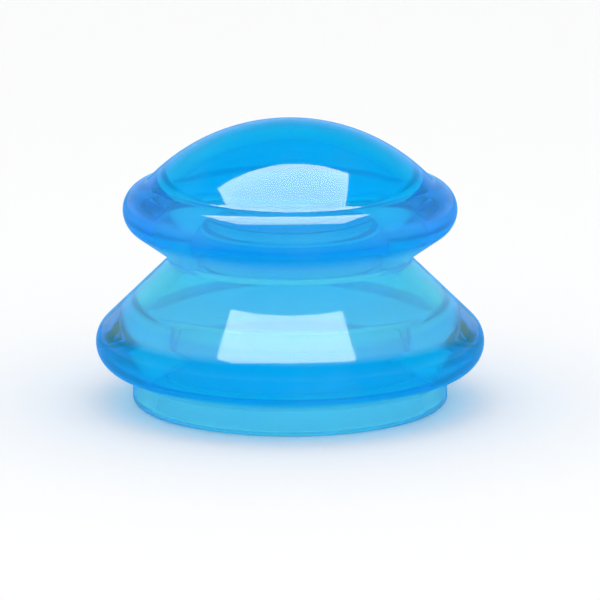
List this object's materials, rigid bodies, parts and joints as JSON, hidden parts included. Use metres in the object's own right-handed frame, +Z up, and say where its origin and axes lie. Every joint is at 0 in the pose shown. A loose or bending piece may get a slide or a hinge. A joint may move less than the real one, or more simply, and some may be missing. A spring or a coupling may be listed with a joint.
{
  "type": "silicone cupping cup",
  "caption": "Soft round massage cup of clear blue silicone: a domed crown on a rolled bead, a pinched waist, a flared skirt with a second bead, and an open mouth with a rounded rim.",
  "frame": {"origin": "middle of the mouth, level with the flat of the rim that lies on the skin or on a bench", "axes": "+Z up the cup's own axis, from the mouth to the top of the dome; the cup is round about Z, so X and Y are free"},
  "size_m": [0.055, 0.055, 0.0403],
  "materials": {
    "silicone": "glossy translucent moulded silicone"
  },
  "bodies": {
    "mouth": {"mouth_collar": "silicone", "lower_roll": "silicone", "skirt": "silicone"},
    "crown": {"neck": "silicone", "upper_roll": "silicone", "crown_dome": "silicone"}
  },
  "joints": [
    {"name": "crown_press", "type": "slide", "parent": "mouth", "child": "crown", "axis": [0, 0, -1], "range_m": [0, 0.007], "stiffness_N_per_m": 1500, "deforming": ["skirt"]}
  ]
}
